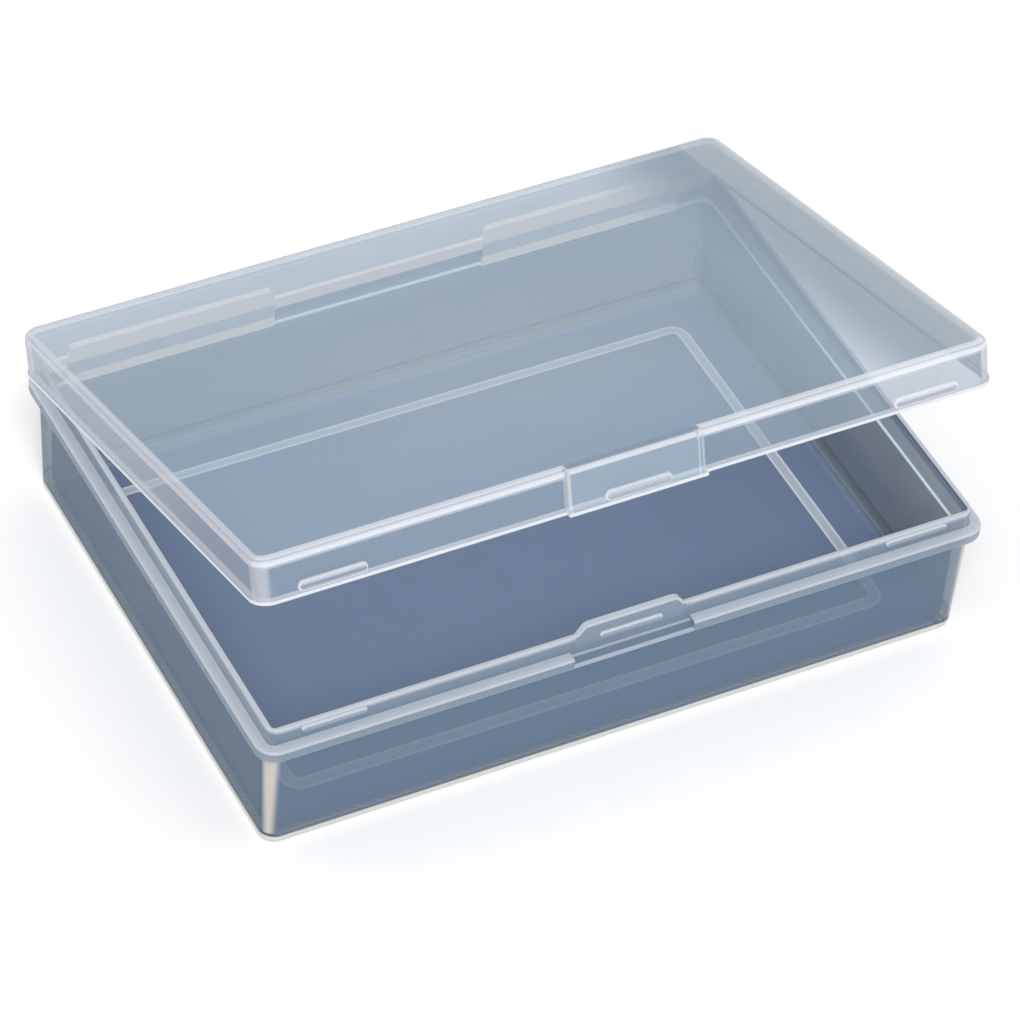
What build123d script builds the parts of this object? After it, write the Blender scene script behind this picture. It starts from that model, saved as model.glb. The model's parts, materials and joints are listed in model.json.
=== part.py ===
from build123d import *
import os

# Hinged card storage box moulded in translucent polypropylene: a deep tray with an upstanding lip,
# a shallow lid that drops over the lip, and two short hinge webs along the back.
#
# The origin is the centre of the tray's underside. +Z is up, +X is the long side, and +Y points to
# the hinge at the back. Every size is in millimetres. The lid is modelled shut, then swung open to
# the angle at which it rests.

os.makedirs("parts", exist_ok=True)

# Driving dimensions of the whole box. The lid's walls and the rims round tray and lid set its plan.
box_width = 145.0
box_depth = 105.5
rim_stand = 0.25
lid_open_angle = 17.6

# Tray
flange_top = 26.35
flange_thickness = 2.5
flange_corner = 3.9
wall_inset = 1.45
wall_corner = 3.1
wall_thickness = 1.35
hollow_corner = 2.6
foot_inset = 2.15
foot_radius = 1.1
floor_thickness = 1.0
floor_blend = 2.4
lip_rise = 3.5
lip_inset = 1.9
lip_corner = 2.3
lip_thickness = 1.0
lip_inner_corner = 0.6
ledge_width = 0.35
rim_softening = 0.5
lip_softening = 0.3

# Raised centre panel of the tray's floor, with its sloping border
panel_width = 122.4
panel_depth = 82.4
panel_rise = 0.4
panel_border = 2.1
panel_corner = 3.5

# Front tongue, the catch ribs on the lip, and the finger notch under the thumb block.
# A rise or a drop is measured from the flange's top.
tongue_foot = 22.0
tongue_crest = 18.4
tongue_rise = 5.7
tongue_rounding = 1.8
rib_length = 12.7
rib_height = 1.5
rib_stand = 0.45
rib_rise = 2.2
rib_softening = 0.35
catch_spacing = 58.3
notch_width = 24.0
notch_back_drop = 0.6
notch_front_drop = 1.7
notch_slope_end = 0.5

# Hinge leaves standing on the back lip
leaf_places = [-43.9, 41.4]
leaf_width = 42.0
leaf_slope = 0.7
leaf_rise = 5.9
leaf_rounding = 0.6

# Lid
lid_gap = 0.05
lid_height = 8.85
lid_wall = 1.1
lid_corner = 3.4
lid_rim_height = 0.8
lid_rim_softening = 0.2
lid_edge_radius = 1.5
lid_inner_radius = 0.6
thumb_width = 26.8
thumb_stand = 1.2
thumb_edge_radius = 0.9
bar_length = 13.2
bar_height = 2.2
bar_stand = 0.45
bar_rise = 1.95
bar_softening = 0.35
pocket_margin = 0.2

# Hinge webs: a bead on the flange's back edge, and the collar on the lid that turns round it
web_width = 40.0
hinge_offset = 0.35
bead_radius = 0.40
collar_clearance = 0.06
collar_thickness = 0.30
web_drop = 1.4
web_relief = 0.1

# How far a cut or a root runs past the face where it ends, and how closely a face is picked out
overrun = 1.0
pick_margin = 0.01

# Places worked out from the driving dimensions
half_depth = box_depth / 2
rim_width = box_width + 2 * rim_stand
rim_depth = box_depth + 2 * rim_stand
rim_face = rim_depth / 2
flange_bottom = flange_top - flange_thickness
wall_width = box_width - 2 * wall_inset
wall_depth = box_depth - 2 * wall_inset
foot_width = box_width - 2 * foot_inset
foot_depth = box_depth - 2 * foot_inset
lip_width = box_width - 2 * lip_inset
lip_depth = box_depth - 2 * lip_inset
lip_inner_width = lip_width - 2 * lip_thickness
lip_inner_depth = lip_depth - 2 * lip_thickness
lip_face = lip_depth / 2
lip_top = flange_top + lip_rise
tongue_top = flange_top + tongue_rise
leaf_top = flange_top + leaf_rise
leaf_thickness = lip_thickness + ledge_width
rib_level = flange_top + rib_rise
lid_bottom = flange_top + lid_gap
lid_rim_top = lid_bottom + lid_rim_height
lid_inner_face = half_depth - lid_wall
hinge_y = rim_face + hinge_offset
hinge_z = flange_top
collar_inner = bead_radius + collar_clearance
collar_outer = collar_inner + collar_thickness
catch_places = [-catch_spacing, 0, catch_spacing]
hinge_axis = Axis((0, hinge_y, hinge_z), (-1, 0, 0))


def front_faces(builder, level):
    """The flat faces that look forwards and lie this far in front of the box's middle."""
    forward = builder.faces().filter_by(Axis.Y)
    return forward.filter_by_position(Axis.Y, -level - pick_margin, -level + pick_margin)


# Tray: tapered body, flange, lip, tongue, ribs and hinge leaves in one moulding
with BuildPart() as base_tray:
    with BuildSketch(Plane.XY):
        RectangleRounded(foot_width, foot_depth, wall_corner)
    with BuildSketch(Plane.XY.offset(flange_bottom)):
        RectangleRounded(wall_width, wall_depth, wall_corner)
    loft()
    fillet(base_tray.faces().sort_by(Axis.Z)[0].edges(), foot_radius)

    # Flange that the lid sits on
    with BuildSketch(Plane.XY.offset(flange_bottom)):
        RectangleRounded(rim_width, rim_depth, flange_corner)
    extrude(amount=flange_thickness)
    flange_faces = base_tray.faces().filter_by(Axis.Z)
    fillet(flange_faces.sort_by(Axis.Z)[-1].edges(), rim_softening)
    flange_under = base_tray.faces().filter_by(Axis.Z).sort_by(Axis.Z)[-2]
    fillet(flange_under.outer_wire().edges(), rim_softening)

    # Finger notch: the flange slopes away under the thumb block
    with BuildSketch(Plane.YZ):
        with BuildLine():
            Polyline(
                (-lip_face, flange_top - notch_back_drop),
                (-lip_face, flange_top + overrun),
                (-rim_face - overrun, flange_top + overrun),
                (-rim_face - overrun, flange_top - notch_front_drop - notch_slope_end),
                (-rim_face, flange_top - notch_front_drop),
                close=True,
            )
        make_face()
    extrude(amount=notch_width / 2, both=True, mode=Mode.SUBTRACT)

    # Lip that carries the wall on above the flange
    with BuildSketch(Plane.XY.offset(flange_top - overrun)):
        RectangleRounded(lip_width, lip_depth, lip_corner)
    extrude(amount=lip_rise + overrun)

    # Hollow of the tray up to the ledge at the flange, then the wider hollow inside the lip
    with BuildSketch(Plane.XY.offset(floor_thickness)):
        RectangleRounded(
            foot_width - 2 * wall_thickness,
            foot_depth - 2 * wall_thickness,
            hollow_corner,
        )
    with BuildSketch(Plane.XY.offset(flange_bottom)):
        RectangleRounded(
            lip_inner_width - 2 * ledge_width,
            lip_inner_depth - 2 * ledge_width,
            hollow_corner,
        )
    loft(mode=Mode.SUBTRACT)
    with BuildSketch(Plane.XY.offset(flange_bottom)):
        RectangleRounded(lip_inner_width, lip_inner_depth, lip_inner_corner)
    extrude(amount=lip_top - flange_bottom, mode=Mode.SUBTRACT)
    floor_face = base_tray.faces().filter_by(Axis.Z).filter_by_position(
        Axis.Z, floor_thickness - pick_margin, floor_thickness + pick_margin
    )
    fillet(floor_face.edges(), floor_blend)
    lip_face_top = base_tray.faces().filter_by(Axis.Z).sort_by(Axis.Z)[-1]
    fillet(lip_face_top.edges(), lip_softening)

    # Raised centre panel
    with BuildSketch(Plane.XY.offset(floor_thickness)):
        RectangleRounded(panel_width, panel_depth, panel_corner)
    with BuildSketch(Plane.XY.offset(floor_thickness + panel_rise)):
        RectangleRounded(
            panel_width - 2 * panel_border,
            panel_depth - 2 * panel_border,
            panel_corner - panel_border / 2,
        )
    loft()

    # Front tongue
    with BuildSketch(Plane.XZ.offset(lip_face)) as tongue_outline:
        with BuildLine():
            Polyline(
                (-tongue_foot / 2, flange_top),
                (-tongue_foot / 2, lip_top - lip_softening),
                (-tongue_crest / 2, tongue_top),
                (tongue_crest / 2, tongue_top),
                (tongue_foot / 2, lip_top - lip_softening),
                (tongue_foot / 2, flange_top),
                close=True,
            )
        make_face()
        fillet(tongue_outline.vertices().group_by(Axis.Y)[-1], tongue_rounding)
    extrude(amount=-lip_thickness)

    # Hinge leaves, flush with the wall inside
    with BuildSketch(Plane.XZ.offset(-lip_face)) as leaf_outline:
        for place in leaf_places:
            leaf_left = place - leaf_width / 2
            leaf_right = place + leaf_width / 2
            with BuildLine():
                Polyline(
                    (leaf_left, flange_bottom),
                    (leaf_left, lip_top - lip_softening),
                    (leaf_left + leaf_slope, leaf_top),
                    (leaf_right - leaf_slope, leaf_top),
                    (leaf_right, lip_top - lip_softening),
                    (leaf_right, flange_bottom),
                    close=True,
                )
            make_face()
        fillet(leaf_outline.vertices().group_by(Axis.Y)[-1], leaf_rounding)
    extrude(amount=leaf_thickness)

    # Catch ribs: one on the tongue and one near each front corner
    with BuildSketch(Plane.XZ.offset(lip_face)):
        for place in catch_places:
            with Locations((place, rib_level)):
                SlotOverall(rib_length, rib_height)
    extrude(amount=rib_stand)
    fillet(front_faces(base_tray, lip_face + rib_stand).edges(), rib_softening)

base_tray.part.label = "base_tray"
export_step(base_tray.part, "parts/base_tray.step")


# Hinge webs: each is a bead along the flange's back edge with its root on the flange
for side, place in zip(["left", "right"], leaf_places):
    with BuildPart() as hinge_web:
        with BuildSketch(Plane.YZ.offset(place - web_width / 2)):
            with Locations((hinge_y, hinge_z)):
                Circle(bead_radius)
            with Locations((rim_face, hinge_z - web_drop)):
                Rectangle(
                    hinge_offset - web_relief,
                    web_drop,
                    align=(Align.MIN, Align.MIN),
                )
            with Locations((rim_face, hinge_z)):
                Rectangle(
                    2 * bead_radius,
                    4 * bead_radius,
                    align=(Align.MAX, Align.CENTER),
                    mode=Mode.SUBTRACT,
                )
        extrude(amount=web_width)
    hinge_web.part.label = "hinge_web_" + side
    export_step(hinge_web.part, "parts/hinge_web_" + side + ".step")


# Lid, shut: shell, thumb block, rim, embossed bars with their pockets, and hinge collars
with BuildPart() as lid:
    with BuildSketch(Plane.XY.offset(lid_bottom)):
        RectangleRounded(box_width, box_depth, lid_corner)
    extrude(amount=lid_height)
    fillet(lid.faces().sort_by(Axis.Z)[-1].edges(), lid_edge_radius)

    # Thumb block, as tall as the lid's front wall
    with BuildSketch(Plane.XZ.offset(half_depth - lid_edge_radius)):
        with Locations((0, lid_bottom)):
            Rectangle(thumb_width, lid_height, align=(Align.CENTER, Align.MIN))
    extrude(amount=lid_edge_radius + thumb_stand)
    thumb_face = lid.faces().filter_by(Axis.Y).sort_by(Axis.Y)[0]
    fillet(thumb_face.edges().sort_by(Axis.Z)[1:], thumb_edge_radius)

    # Rim round the lid's lower edge, which goes round the thumb block too
    with BuildSketch(Plane.XY.offset(lid_bottom)):
        RectangleRounded(rim_width, rim_depth, lid_corner + rim_stand)
        with Locations((0, -half_depth - thumb_stand - rim_stand)):
            Rectangle(
                thumb_width + 2 * rim_stand,
                lid_corner + thumb_stand,
                align=(Align.CENTER, Align.MIN),
            )
    extrude(amount=lid_rim_height)
    rim_face_top = lid.faces().filter_by(Axis.Z).filter_by_position(
        Axis.Z, lid_rim_top - pick_margin, lid_rim_top + pick_margin
    )
    fillet(rim_face_top.face().outer_wire().edges(), lid_rim_softening)

    # Hollow of the lid
    with BuildSketch(Plane.XY.offset(lid_bottom)):
        RectangleRounded(
            box_width - 2 * lid_wall,
            box_depth - 2 * lid_wall,
            lid_corner - lid_wall,
        )
    extrude(amount=lid_height - lid_wall, mode=Mode.SUBTRACT)
    ceiling = lid.faces().filter_by(Axis.Z).sort_by(Axis.Z)[-2]
    fillet(ceiling.edges(), lid_inner_radius)

    # Embossed bars outside and the pockets behind them that take the catch ribs
    for place, wall_face in zip(catch_places, [0, thumb_stand, 0]):
        with BuildSketch(Plane.XZ.offset(half_depth + wall_face)):
            with Locations((place, lid_bottom + bar_rise)):
                SlotOverall(bar_length, bar_height)
        extrude(amount=bar_stand)
        fillet(front_faces(lid, half_depth + wall_face + bar_stand).edges(), bar_softening)
        with BuildSketch(Plane.XZ.offset(lid_inner_face)):
            with Locations((place, lid_bottom + bar_rise)):
                SlotOverall(bar_length, bar_height - pocket_margin)
        extrude(amount=bar_stand, mode=Mode.SUBTRACT)

    # Hinge collars: a quarter turn of shell round each bead
    for place in leaf_places:
        with BuildSketch(Plane.YZ.offset(place - web_width / 2)):
            with Locations((hinge_y, hinge_z)):
                Circle(collar_outer)
                Rectangle(
                    2 * collar_outer,
                    2 * collar_outer,
                    align=(Align.MIN, Align.CENTER),
                    mode=Mode.SUBTRACT,
                )
            with Locations((hinge_y, lid_bottom)):
                Rectangle(
                    4 * collar_outer,
                    2 * collar_outer,
                    align=(Align.CENTER, Align.MAX),
                    mode=Mode.SUBTRACT,
                )
        extrude(amount=web_width)
        with BuildSketch(Plane.YZ.offset(place - web_width / 2 - lid_gap)):
            with Locations((hinge_y, hinge_z)):
                Circle(collar_inner)
        extrude(amount=web_width + 2 * lid_gap, mode=Mode.SUBTRACT)

lid.part = lid.part.rotate(hinge_axis, lid_open_angle)
lid.part.label = "lid"
export_step(lid.part, "parts/lid.step")
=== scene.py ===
import json
import math

import bpy
import bmesh
from mathutils import Matrix, Vector


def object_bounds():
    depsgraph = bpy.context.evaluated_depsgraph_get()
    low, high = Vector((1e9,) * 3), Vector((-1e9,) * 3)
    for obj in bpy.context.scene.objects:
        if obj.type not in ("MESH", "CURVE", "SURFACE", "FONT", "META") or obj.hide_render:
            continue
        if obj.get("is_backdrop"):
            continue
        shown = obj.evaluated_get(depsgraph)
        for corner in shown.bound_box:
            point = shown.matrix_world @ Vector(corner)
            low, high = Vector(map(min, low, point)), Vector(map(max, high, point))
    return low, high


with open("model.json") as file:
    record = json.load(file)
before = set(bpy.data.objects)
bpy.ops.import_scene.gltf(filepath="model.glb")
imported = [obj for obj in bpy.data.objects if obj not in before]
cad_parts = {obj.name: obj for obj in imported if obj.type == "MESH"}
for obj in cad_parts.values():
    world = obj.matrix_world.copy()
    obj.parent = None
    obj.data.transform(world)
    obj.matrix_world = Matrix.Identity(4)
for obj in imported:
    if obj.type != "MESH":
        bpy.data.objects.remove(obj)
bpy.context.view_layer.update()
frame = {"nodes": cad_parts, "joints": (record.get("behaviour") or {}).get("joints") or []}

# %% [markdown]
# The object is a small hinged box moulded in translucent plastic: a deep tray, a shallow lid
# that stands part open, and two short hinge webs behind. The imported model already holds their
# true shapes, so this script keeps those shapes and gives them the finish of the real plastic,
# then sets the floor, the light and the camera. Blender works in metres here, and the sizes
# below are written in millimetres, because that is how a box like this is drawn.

MM = 0.001

# %% [markdown]
# The camera is set first, because every later choice is judged through it. The photograph's
# straight edges fix where it stood: thirty degrees round to the left, high above the table,
# with a long lens and a slight tilt of the frame.

# %% Camera
camera_azimuth = math.radians(-30.18)
camera_elevation = math.radians(44.39)
camera_roll = math.radians(5.15)
camera_target = Vector((-6.88, -16.54, 28.58)) * MM
camera_distance = 1040 * MM
camera_lens = 203.1
camera_sensor = 36


def towards(azimuth, elevation):
    """Unit vector from the box to something at this azimuth and elevation."""
    return Vector((
        math.sin(azimuth) * math.cos(elevation),
        -math.cos(azimuth) * math.cos(elevation),
        math.sin(elevation),
    ))


backwards = towards(camera_azimuth, camera_elevation)
level_right = (-backwards).cross(Vector((0, 0, 1))).normalized()
level_up = level_right.cross(-backwards)
tilted_right = level_right * math.cos(camera_roll) + level_up * math.sin(camera_roll)
tilted_up = level_up * math.cos(camera_roll) - level_right * math.sin(camera_roll)
turn_to_view = Matrix((tilted_right, tilted_up, backwards)).transposed().to_4x4()
camera_place = camera_target + backwards * camera_distance

camera = bpy.data.objects.new("camera", bpy.data.cameras.new("camera"))
camera.data.lens = camera_lens
camera.data.sensor_width = camera_sensor
camera.matrix_world = Matrix.Translation(camera_place) @ turn_to_view
bpy.context.scene.collection.objects.link(camera)
bpy.context.scene.camera = camera
print("camera stands at", [round(v / MM) for v in camera_place], "mm")

# %% [markdown]
# A finish is a web of shader nodes, and a web is easier to read as sums. A Wire stands for one
# output of a node, so that an expression such as 1 - wire * 2 adds the Math nodes it needs.
# Most masks are distances that fade from 0 to 1, so a Wire can also turn itself into one.

# %% Shader nodes as Python expressions
class Wire:
    """One output of a node. Operators and methods on it add the nodes they need."""

    def __init__(self, web, socket):
        self.web = web
        self.socket = socket

    def _math(self, operation, first, second=None):
        inputs = {0: first} if second is None else {0: first, 1: second}
        return self.web.add("ShaderNodeMath", inputs, operation=operation)

    def __add__(self, other):
        return self._math("ADD", self, other)

    def __sub__(self, other):
        return self._math("SUBTRACT", self, other)

    def __rsub__(self, other):
        return self._math("SUBTRACT", other, self)

    def __mul__(self, other):
        return self._math("MULTIPLY", self, other)

    __radd__ = __add__
    __rmul__ = __mul__

    def __abs__(self):
        return self._math("ABSOLUTE", self)

    def __pow__(self, other):
        return self._math("POWER", self, other)

    def least(self, other):
        return self._math("MINIMUM", self, other)

    def most(self, other):
        return self._math("MAXIMUM", self, other)

    def rise(self, start, end):
        """0 at start and 1 at end, with soft shoulders. It falls where start is above end."""
        return self.web.add(
            "ShaderNodeMapRange",
            {"Value": self, "From Min": start, "From Max": end},
            interpolation_type="SMOOTHSTEP",
        )

    def line(self, centre, half, soft):
        """1 within half of the centre, fading over soft on either side."""
        return abs(self - centre).rise(half + soft, half)


class Web:
    """The nodes of one material or world."""

    def __init__(self, tree):
        self.tree = tree

    def add(self, kind, inputs, output=0, **settings):
        node = self.tree.nodes.new(kind)
        for name, value in settings.items():
            setattr(node, name, value)
        for key, value in inputs.items():
            self.feed(node.inputs[key], value)
        return Wire(self, node.outputs[output])

    def feed(self, socket, value):
        if isinstance(value, Wire):
            self.tree.links.new(value.socket, socket)
        else:
            socket.default_value = value


print("Wire and Web are ready")

# %% [markdown]
# Moulded plastic is one material throughout, and only its thickness and its curves change how
# much it hides. So a finish here is a pile of coats. Each coat has a colour, a cover, which is
# the share of what lies behind that it hides, and a mask that says where it lies. The colours
# are written as the eye reads them on a screen, because they were judged there.

# %% A coat, and a finish made of coats
haze_patch = 9
gloss_patch = 5
ripple_patch = 7
noise_middle = 0.5
gloss_spread = 0.2
plastic_ior = 1.49
plastic_specular = 0.15
MIX_FACTOR = 0
MIX_NUMBERS = (2, 3)
MIX_COLOURS = (6, 7)
MIX_COLOUR_OUT = 2


def coat(red, green, blue, cover):
    """A screen colour, 0 to 255, turned into the light it stands for, and its cover."""
    values = [channel / 255 for channel in (red, green, blue)]
    light = [v / 12.92 if v < 0.04045 else ((v + 0.055) / 1.055) ** 2.4 for v in values]
    return (*light, 1), cover


class Finish(Web):
    """One plastic, built coat by coat."""

    def __init__(self, name):
        self.material = bpy.data.materials.new(name)
        self.material.use_nodes = True
        super().__init__(self.material.node_tree)
        self.shader = self.tree.nodes["Principled BSDF"]
        self.colour = None
        self.cover = None

    def place(self, rotation=(0, 0, 0), location=(0, 0, 0)):
        """x, y and z in millimetres, turned and shifted into the piece's own drawing."""
        coordinates = self.add("ShaderNodeTexCoord", {}, output="Object")
        self.drawing = self.add("ShaderNodeMapping", {
            "Vector": coordinates,
            "Location": location,
            "Rotation": rotation,
            "Scale": (1 / MM, 1 / MM, 1 / MM),
        })
        return [
            self.add("ShaderNodeSeparateXYZ", {0: self.drawing}, output=name)
            for name in "XYZ"
        ]

    def cloud(self, size):
        """Soft noise about its middle value, with patches of this size in millimetres."""
        return self.add(
            "ShaderNodeTexNoise",
            {"Vector": self.drawing, "Scale": 1 / size, "Detail": 2.0, "Roughness": 0.5},
        )

    def paint(self, mask, new_coat):
        """Lays a coat over what is there, where the mask is 1. The first one has no mask."""
        colour, cover = new_coat
        if self.colour is None:
            self.colour, self.cover = colour, cover
            return
        self.colour = self.add(
            "ShaderNodeMix",
            {MIX_FACTOR: mask, MIX_COLOURS[0]: self.colour, MIX_COLOURS[1]: colour},
            output=MIX_COLOUR_OUT,
            data_type="RGBA",
        )
        self.cover = self.add(
            "ShaderNodeMix",
            {MIX_FACTOR: mask, MIX_NUMBERS[0]: self.cover, MIX_NUMBERS[1]: cover},
            data_type="FLOAT",
        )

    def done(self, haze, gloss, ripple):
        """Haze varies the cover, and ripple is the height of waves in the surface."""
        haze_change = (self.cloud(haze_patch) - noise_middle) * haze
        gloss_change = (self.cloud(gloss_patch) - noise_middle) * gloss_spread
        waves = self.add("ShaderNodeBump", {
            "Height": self.cloud(ripple_patch),
            "Distance": ripple * MM,
        })
        self.feed(self.shader.inputs["Base Color"], self.colour)
        self.feed(self.shader.inputs["Alpha"], haze_change + self.cover)
        self.feed(self.shader.inputs["Roughness"], gloss_change + gloss)
        self.feed(self.shader.inputs["Normal"], waves)
        self.shader.inputs["IOR"].default_value = plastic_ior
        self.shader.inputs["Specular IOR Level"].default_value = plastic_specular
        print(self.material.name, len(self.tree.nodes), "nodes")
        return self.material


print("a screen grey of 128 is a light of", round(coat(128, 128, 128, cover=1)[0][0], 3))

# %% [markdown]
# Nearly every mask on this box is a distance from one of two outlines. Seen from above, tray
# and lid are rectangles with round corners. Seen from the front, the catches are short bars
# with round ends. Both distances are worked out once here, in millimetres.

# %% Distances from a rounded rectangle and from a bar
def plan_distance(x, y, half_x, half_y, corner):
    """Distance in plan from a rounded rectangle's outline, negative inside, and the depth
    into its corners: 0 along the straight sides and most in the middle of an arc."""
    over_x = abs(x) - (half_x - corner)
    over_y = abs(y) - (half_y - corner)
    round_part = (over_x.most(0) ** 2 + over_y.most(0) ** 2) ** 0.5
    straight_part = over_x.most(over_y).least(0)
    return round_part + straight_part - corner, over_x.least(over_y)


def bar_distance(x, z, centre, level, length, height):
    """Distance from a bar with round ends that lies along x, negative inside."""
    reach = (length - height) / 2
    along = (abs(x - centre) - reach).most(0)
    return (along ** 2 + (z - level) ** 2) ** 0.5 - height / 2


half_width = 145.0 / 2
half_depth = 105.5 / 2
outer_corner = 3.4
catch_spacing = 58.3
print("the rims are", half_width * 2, "by", half_depth * 2, "mm")

# %% [markdown]
# The lid stands open, while it is easiest to describe shut. So its coordinates are first
# turned back about the hinge by the angle it stands open at. After that the height above the
# rim's lower face and the distance from the outline are all that its masks need.

# %% The lid's own drawing
lid_bottom = 26.4
lid_height = 8.85
hinge_place = Vector((0, 53.35, 26.35))
open_angle = math.radians(-frame["joints"][0]["range_deg"][0])
turned_back = Matrix.Rotation(open_angle, 3, "X")

lid_finish = Finish("lid_plastic")
x, y, z = lid_finish.place(
    rotation=(open_angle, 0, 0),
    location=hinge_place - turned_back @ hinge_place,
)
height = z - lid_bottom
edge, corner_depth = plan_distance(x, y, half_width, half_depth, outer_corner)
print("lid stands open by", round(math.degrees(open_angle), 1), "degrees")

# %% [markdown]
# The lid's flat sheet is the clearest part of the box, a little hazier in its middle, where a
# broad painted reflection of the studio light also makes it lighter. The real box was shown on
# a slate blue ground, which this white floor does not have, so the plastic carries that tone
# itself. The right end, with no tray wall close behind it, would still look too light. So it
# is made milkier there, and a lighter strip follows the wall below it.

# %% Flat sheet of the lid
lid_finish.paint(None, coat(176, 197, 214, cover=0.29))
# painted reflection: a broad sheen of the studio light, lighter over the middle of the sheet
middle = abs(x + 6).rise(62, 12) * abs(y + 12).rise(50, 8)
lid_finish.paint(middle, coat(187, 204, 217, cover=0.31))
milky_end = x.rise(40, 62)
lid_finish.paint(milky_end, coat(144, 161, 177, cover=0.67))
strip_by_wall = x.rise(63.4, 64.3)
lid_finish.paint(strip_by_wall, coat(169, 182, 192, cover=0.67))
print("flat sheet painted,", len(lid_finish.tree.nodes), "nodes")

# %% [markdown]
# The walls are seen at a slant, which makes a thin sheet hide more. The long walls keep the
# sheet's blue, the short end walls look paler, and only their front halves clear up again.
# The thumb block stands a little forward of the front wall and has a tone of its own.

# %% Walls of the lid, and the thumb block's face
thumb_half_width = 13.4
side_wall = edge.rise(-1.6, -1.0)
lid_finish.paint(side_wall, coat(148, 164, 180, cover=0.38))
end_wall = side_wall * abs(x).rise(half_width - 2.5, half_width - 1.5)
lid_finish.paint(end_wall, coat(180, 192, 202, cover=0.45))
lid_finish.paint(end_wall * y.rise(10, -40), coat(150, 163, 178, cover=0.38))
before_wall = y.rise(-half_depth + 0.1, -half_depth - 0.1)
block_face = before_wall * abs(x).rise(thumb_half_width + 0.5, thumb_half_width + 0.3)
lid_finish.paint(block_face, coat(166, 184, 198, cover=0.5))
print("walls painted,", len(lid_finish.tree.nodes), "nodes")

# %% [markdown]
# Where the sheet bends into a wall the plastic is thicker and scatters light, so the corners
# and the upper edge turn white. The edge's place is where height and outline meet at the same
# depth, which is one subtraction. Along the front it is brightest, with a fine darker line in
# the middle of the bend. The thumb block interrupts it and has an edge of its own.

# %% Corners and upper edges of the lid
thumb_stand = 1.2
edge_half = 1.35
lid_finish.paint(corner_depth.rise(0.2, 1.4) * side_wall, coat(190, 191, 201, cover=0.6))
bend = edge - height + lid_height
beside_block = abs(x).rise(thumb_half_width - 0.5, thumb_half_width - 0.1).most(y.rise(0, 1))
top_edge = bend.line(0, edge_half, 0.3) * edge.rise(-2.3, -2.0) * beside_block
lid_finish.paint(top_edge, coat(206, 211, 220, cover=0.65))
front_edge = top_edge * y.rise(-half_depth + 2.2, -half_depth + 1.6)
lid_finish.paint(front_edge, coat(222, 225, 232, cover=0.72))
lid_finish.paint(top_edge * bend.line(0.1, 0.12, 0.3), coat(190, 197, 209, cover=0.55))
block_bend = lid_height - half_depth - thumb_stand - y - height
block_edge = block_bend.line(0, 0.55, 0.35) * before_wall * height.rise(7.0, 7.6)
lid_finish.paint(block_edge, coat(224, 227, 233, cover=0.75))
print("edges painted,", len(lid_finish.tree.nodes), "nodes")

# %% [markdown]
# Three latch bars are pressed into the front wall. Each looks like a pill drawn in painted
# light: a painted highlight along its outline, painted shade that leaves the lower half darker
# where the pocket behind it is deep, and a painted highlight on its upper half.

# %% Latch bars
bar_length = 13.2
bar_height = 2.2
bar_level = 1.95
on_front_face = y.rise(-half_depth + 0.3, -half_depth)
for centre in (-catch_spacing, 0, catch_spacing):
    bar = bar_distance(x, height, centre, bar_level, bar_length, bar_height)
    inside_bar = bar.rise(0, -0.2) * on_front_face
    # painted shade over the whole bar, left showing in its lower half
    lid_finish.paint(inside_bar, coat(150, 160, 176, cover=0.5))
    # painted highlight on the upper half of the bar
    lid_finish.paint(inside_bar * height.rise(1.9, 2.5), coat(208, 212, 220, cover=0.7))
    # painted highlight along the bar's outline
    bar_outline_highlight = bar.line(-0.15, 0.12, 0.15) * on_front_face
    lid_finish.paint(bar_outline_highlight, coat(218, 221, 228, cover=0.78))
    print("latch bar at", centre, "mm")

# %% [markdown]
# The last coats are the sides of the thumb block, the inner wall that shows through it, and
# the rim round the lid's lower edge. The rim is the thickest plastic, nearly white all round.

# %% Sides of the thumb block, and the rim
lid_rim_height = 0.8
block_sides = before_wall * abs(x).line(thumb_half_width, 0.35, 0.25)
lid_finish.paint(block_sides, coat(214, 218, 225, cover=0.7))
block_inner = before_wall * x.line(thumb_half_width - 1.2, 0.1, 0.25)
lid_finish.paint(block_inner, coat(196, 206, 216, cover=0.6))
rim = height.rise(lid_rim_height - 0.05, lid_rim_height - 0.25)
lid_finish.paint(rim, coat(222, 224, 230, cover=0.85))
lid_plastic = lid_finish.done(haze=0.06, gloss=0.2, ripple=0.02)

# %% [markdown]
# The tray stands as it was drawn, so its coordinates only change units. Its plastic looks
# darker than the lid's, because two walls and the floor lie behind one another. The walls are
# bluer just under the flange, darker and bluer at the short ends, where that is painted shade,
# and milky at the corners.

# %% Walls of the tray
flange_top = 26.35
flange_bottom = 23.85
wall_inset = 1.45
wall_corner = 3.1
half_body_width = half_width - wall_inset
half_body_depth = half_depth - wall_inset

tray_finish = Finish("tray_plastic")
x, y, z = tray_finish.place()
edge, _ = plan_distance(x, y, half_width, half_depth, outer_corner)
body_edge, body_corner = plan_distance(x, y, half_body_width, half_body_depth, wall_corner)
tray_finish.paint(None, coat(110, 131, 154, cover=0.52))
under_flange = z.rise(flange_bottom - 2.4, flange_bottom - 0.6)
tray_finish.paint(under_flange, coat(124, 153, 177, cover=0.55))
below_flange = z.rise(flange_bottom, flange_bottom - 0.4)
at_ends = abs(x).rise(half_body_width - 2.6, half_body_width - 2.2)
# painted shade: the short end walls below the flange are painted darker and bluer
tray_finish.paint(below_flange * at_ends, coat(85, 111, 137, cover=0.6))
at_corners = below_flange * body_corner.rise(0.1, 1.6)
tray_finish.paint(at_corners, coat(206, 201, 193, cover=0.84))
print("tray walls painted,", len(tray_finish.tree.nodes), "nodes")

# %% [markdown]
# The floor carries a raised panel with a sloping border, which catches the light as a double
# line. Below it the edge of the floor slab shows all round as the tray's white foot, with a
# dark line where the wall begins.

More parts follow.
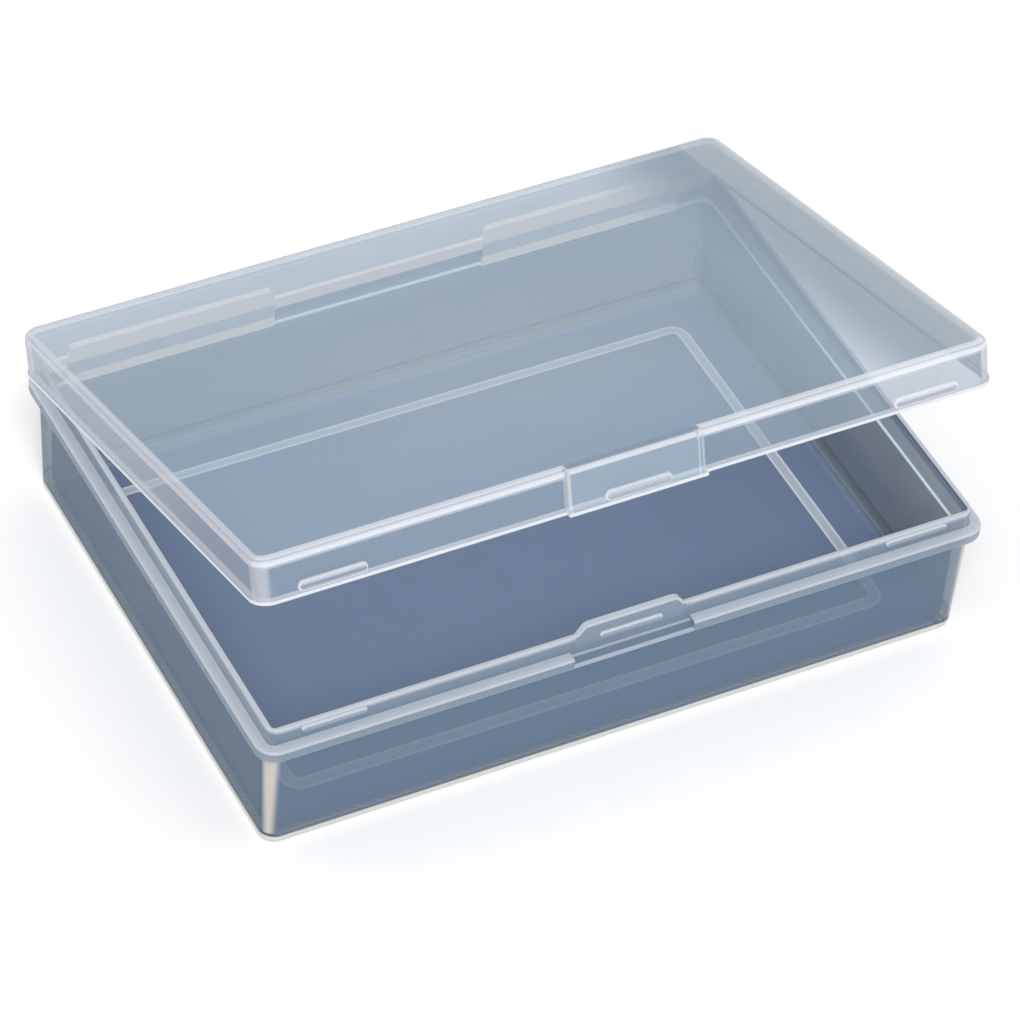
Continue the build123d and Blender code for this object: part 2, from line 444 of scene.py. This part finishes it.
# %% Floor and foot of the tray
panel_half_width = 122.4 / 2
panel_half_depth = 82.4 / 2
panel_corner = 3.5
panel_border = 2.1
panel, _ = plan_distance(x, y, panel_half_width, panel_half_depth, panel_corner)
low = z.rise(1.7, 1.5)
tray_finish.paint(low * body_edge.rise(-2.5, -3.5), coat(124, 142, 172, cover=0.8))
border = low * panel.line(-panel_border / 2, 0.9, 0.2)
tray_finish.paint(border, coat(206, 215, 225, cover=0.88))
outer_line = low * panel.line(-0.1, 0.15, 0.2)
tray_finish.paint(outer_line, coat(232, 239, 246, cover=0.92))
inner_line = low * panel.line(-panel_border, 0.15, 0.2)
tray_finish.paint(inner_line, coat(230, 237, 244, cover=0.92))
foot_shadow = z.line(2.3, 0.25, 0.3) * body_edge.rise(-2.5, -1.5)
tray_finish.paint(foot_shadow, coat(84, 98, 122, cover=0.75))
foot = z.rise(2.0, 1.7) * body_edge.rise(-1.9, -1.3)
tray_finish.paint(foot, coat(214, 214, 208, cover=0.9))
print("floor and foot painted,", len(tray_finish.tree.nodes), "nodes")

# %% [markdown]
# The flange is the shelf that the lid comes down on. Its upper face is painted light, with a
# painted highlight towards its outer edge, and its side is the same plastic painted darker,
# with one pale painted highlight along the bottom.

# %% Flange
lip_inset = 1.9
outside_lip = edge.rise(-lip_inset - 0.05, -lip_inset + 0.1)
flange = z.rise(flange_bottom - 0.1, flange_bottom + 0.1) * outside_lip
# the flange's side, painted darker than its upper face as painted shade
tray_finish.paint(flange, coat(142, 158, 174, cover=0.65))
# painted light on the flange's upper face, brighter still towards its outer edge
flange_face = z.rise(flange_top - 0.5, flange_top - 0.2) * outside_lip
tray_finish.paint(flange_face, coat(192, 200, 209, cover=0.8))
tray_finish.paint(flange_face * edge.rise(-1.0, -0.5), coat(200, 205, 214, cover=0.8))
# a pale painted highlight along the bottom of the flange's side
flange_foot = z.line(flange_bottom + 0.25, 0.2, 0.2) * outside_lip
tray_finish.paint(flange_foot, coat(158, 170, 184, cover=0.7))
print("flange painted,", len(tray_finish.tree.nodes), "nodes")

# %% [markdown]
# The lip carries the wall on above the flange. A painted highlight runs along its crest and
# fades down its face, with a fine line of painted shade where the crest drops to the inside. A
# pale line runs round the inner wall at the level of the flange, where the plastic changes
# thickness.

# %% Lip
lip_top = 29.85
lip_thickness = 1.0
inside_lip = edge.rise(-lip_inset + 0.1, -lip_inset - 0.05)
lip = z.rise(flange_top - 0.1, flange_top + 0.1) * inside_lip
tray_finish.paint(lip, coat(140, 155, 173, cover=0.55))
# painted highlight along the lip's crest, fading down its face
crest = z.rise(lip_top - 1.4, lip_top - 0.2)
tray_finish.paint(crest, coat(206, 211, 219, cover=0.8))
# painted shade: a fine dark line where the crest drops to the inside
inner_drop = edge.line(-lip_inset - lip_thickness, 0.08, 0.14)
tray_finish.paint(crest * inner_drop, coat(98, 110, 138, cover=0.8))
on_inner_wall = edge.rise(-lip_inset - 0.9, -lip_inset - 1.0)
ledge = z.line(flange_bottom, 0.15, 0.25) * on_inner_wall
tray_finish.paint(ledge, coat(232, 242, 250, cover=0.92))
print("lip painted,", len(tray_finish.tree.nodes), "nodes")

# %% [markdown]
# Under the thumb block the flange slopes away as a notch for the finger. The slope faces away
# from the light, so it is dark between two light lines, one along the lip and one outside.

# %% Finger notch
notch_half_width = 12.0
notch_bottom = flange_bottom + 0.35
in_notch = outside_lip * abs(x).rise(notch_half_width + 0.1, notch_half_width - 0.1)
in_notch = in_notch * y.rise(-half_depth + 2.2, -half_depth + 2.0)
slope = in_notch * z.rise(flange_bottom + 0.6, flange_bottom + 0.8)
tray_finish.paint(slope, coat(112, 126, 150, cover=0.8))
for place, half, light_line in (
    (-lip_inset + 0.35, 0.15, coat(164, 176, 190, cover=0.8)),
    (0.1, 0.2, coat(178, 187, 199, cover=0.8)),
):
    along_notch = in_notch * edge.line(place, half, 0.15)
    tray_finish.paint(along_notch * z.rise(notch_bottom, notch_bottom + 0.2), light_line)
print("notch painted,", len(tray_finish.tree.nodes), "nodes")

# %% [markdown]
# A tongue rises from the middle of the front lip, narrower at its top than at its foot. It is
# clear inside, and its rounded edges carry a white painted highlight as its outline.

# %% Tongue
tongue_foot = 22.0
tongue_crest = 18.4
tongue_top = 32.05
on_front_lip = y.rise(-half_depth + 4.0, -half_depth + 3.5)
side_slope = (tongue_foot - tongue_crest) / 2 / (tongue_top - lip_top)
tongue_side = abs(x) + (z - lip_top).most(0) * side_slope - tongue_foot / 2
tongue = on_front_lip * tongue_side.rise(0.1, -0.1)
tongue_fill = tongue * z.rise(flange_top + 0.4, flange_top + 0.8)
tray_finish.paint(tongue_fill, coat(146, 162, 180, cover=0.6))
# painted highlight along the tongue's rounded edges
tongue_edge = tongue_side.line(-0.3, 0.3, 0.2).most(z.rise(tongue_top - 0.9, tongue_top - 0.5))
tongue_outline = on_front_lip * tongue_edge * z.rise(lip_top - 0.4, lip_top)
tray_finish.paint(tongue_outline, coat(204, 211, 220, cover=0.8))
print("tongue painted,", len(tray_finish.tree.nodes), "nodes")

# %% [markdown]
# Three catch ribs stand out from the lip and the tongue, opposite the lid's latch bars. Light
# from above brightens the upper half of each outline, so only that half gets the white line.

# %% Catch ribs
rib_length = 12.7
rib_height = 1.5
rib_level = 28.55
on_lip_face = y.line(-half_depth + lip_inset - 0.25, 0.3, 0.1)
for centre in (-catch_spacing, 0, catch_spacing):
    rib = bar_distance(x, z, centre, rib_level, rib_length, rib_height)
    tray_finish.paint(rib.rise(0.05, -0.1) * on_lip_face, coat(166, 176, 190, cover=0.7))
    upper_line = rib.line(-0.2, 0.15, 0.15) * z.rise(rib_level - 0.1, rib_level + 0.2)
    tray_finish.paint(upper_line * on_lip_face, coat(206, 213, 222, cover=0.8))
    print("catch rib at", centre, "mm")

# %% [markdown]
# Two hinge leaves stand along the back, and with the lip between them they show through the
# lid as milky bands. They are the whitest part of the tray. Each leaf has a bright upper band,
# a duller one below it, and a bright one again beside the flange.

# %% Hinge leaves
leaf_places = (-43.9, 41.4)
leaf_half_width = 21.0
back_lip = half_depth - lip_inset - 1.5
at_back = y.rise(back_lip, back_lip + 0.1)
on_left_leaf, on_right_leaf = [
    abs(x - leaf_place).rise(leaf_half_width + 0.2, leaf_half_width - 0.2)
    for leaf_place in leaf_places
]
on_leaf = at_back * on_left_leaf.most(on_right_leaf)
back_crest = at_back * z.rise(lip_top - 3.0, lip_top - 2.4)
tray_finish.paint(back_crest, coat(254, 243, 238, cover=0.93))
tray_finish.paint(on_leaf * z.rise(28.6, 29.2), coat(255, 246, 240, cover=0.95))
tray_finish.paint(on_leaf * z.line(27.1, 1.3, 0.4), coat(214, 218, 226, cover=0.88))
tray_finish.paint(on_leaf * z.line(24.4, 1.0, 0.4), coat(255, 246, 236, cover=0.95))
tray_plastic = tray_finish.done(haze=0.05, gloss=0.22, ripple=0.02)

# %% [markdown]
# The hinge webs are thin strips that bend each time the box is opened, and plastic that has
# been bent goes white. They are small and half hidden, so one coat is enough.

# %% Hinge webs, and which piece wears which plastic
hinge_finish = Finish("hinge_plastic")
hinge_finish.place()
hinge_finish.paint(None, coat(210, 212, 218, cover=0.7))
hinge_plastic = hinge_finish.done(haze=0.1, gloss=0.3, ripple=0.01)

worn = {
    "lid": lid_plastic,
    "base_tray": tray_plastic,
    "hinge_web_left": hinge_plastic,
    "hinge_web_right": hinge_plastic,
}
for name, material in worn.items():
    frame["nodes"][name].material_slots[0].material = material
    print(name, "wears", material.name)

# %% [markdown]
# Studio. The floor is a plain white sheet of paper, so large that its edge is never seen.

# %% Floor
floor_half = 3
floor_mesh = bpy.data.meshes.new("floor")
shape = bmesh.new()
bmesh.ops.create_grid(shape, x_segments=1, y_segments=1, size=floor_half)
shape.to_mesh(floor_mesh)
shape.free()
floor = bpy.data.objects.new("floor", floor_mesh)
bpy.context.scene.collection.objects.link(floor)
floor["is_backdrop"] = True

paper = bpy.data.materials.new("paper")
paper.use_nodes = True
paper_shader = paper.node_tree.nodes["Principled BSDF"]
paper_shader.inputs["Base Color"].default_value = (1, 1, 1, 1)
paper_shader.inputs["Roughness"].default_value = 1
paper_shader.inputs["Specular IOR Level"].default_value = 0
floor_mesh.materials.append(paper)
print("floor is", floor_half * 2, "m wide")

# %% [markdown]
# The world gives most of the light, evenly from all sides. It has to look white behind the
# box and in its reflections without lighting it more, so a ray that comes from the camera, a
# reflection or clear plastic sees strength 1, and every other ray sees the lower strength.

# %% World
world_light = 0.66
world = bpy.data.worlds.new("studio")
bpy.context.scene.world = world
world.use_nodes = True
sky = Web(world.node_tree)
seen, mirrored, sent = [
    sky.add("ShaderNodeLightPath", {}, output=kind)
    for kind in ("Is Camera Ray", "Is Glossy Ray", "Is Transmission Ray")
]
looks_white = seen.most(mirrored).most(sent)
background = world.node_tree.nodes["Background"]
background.inputs["Color"].default_value = (1, 1, 1, 1)
sky.feed(background.inputs["Strength"], looks_white * (1 - world_light) + world_light)
print("world lights the box at", world_light)

# %% [markdown]
# A broad soft sun stands near the camera, so that shadows fall behind the box and its edges
# still catch a direction. Real light passes through the clear lid, while a see-through surface
# here would darken all that lies under it. So the lid casts no shadow on the tray.

# %% Sun
sun_light = 1.75
sun_azimuth = math.radians(-24)
sun_elevation = math.radians(50)
sun_width = math.radians(24)
from_sun = -towards(sun_azimuth, sun_elevation)
sun_data = bpy.data.lights.new("soft_sun", "SUN")
sun_data.angle = sun_width
sun_data.energy = sun_light
sun = bpy.data.objects.new("soft_sun", sun_data)
sun.rotation_euler = from_sun.to_track_quat("-Z", "Y").to_euler()
bpy.context.scene.collection.objects.link(sun)
frame["nodes"]["lid"].visible_shadow = False
print("sun is", round(math.degrees(sun_width)), "degrees wide")

# %% [markdown]
# Last come two settings. The standard view shows a colour about as it is written. A ray that
# crosses the lid and the tray passes many clear faces, so it is allowed more of them than
# usual. Without that, the deepest places would turn black.

# %% How the picture is shown
clear_faces_crossed = 32
bpy.context.scene.view_settings.view_transform = "Standard"
bpy.context.scene.cycles.transparent_max_bounces = clear_faces_crossed
print("a ray may cross", clear_faces_crossed, "clear faces")

# %% [markdown]
# The finishes must not have changed how big the object is. So its size is measured again and
# printed.

# %% The size of what is shown
low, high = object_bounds()
print("shown", [round(side / MM, 1) for side in high - low], "mm")
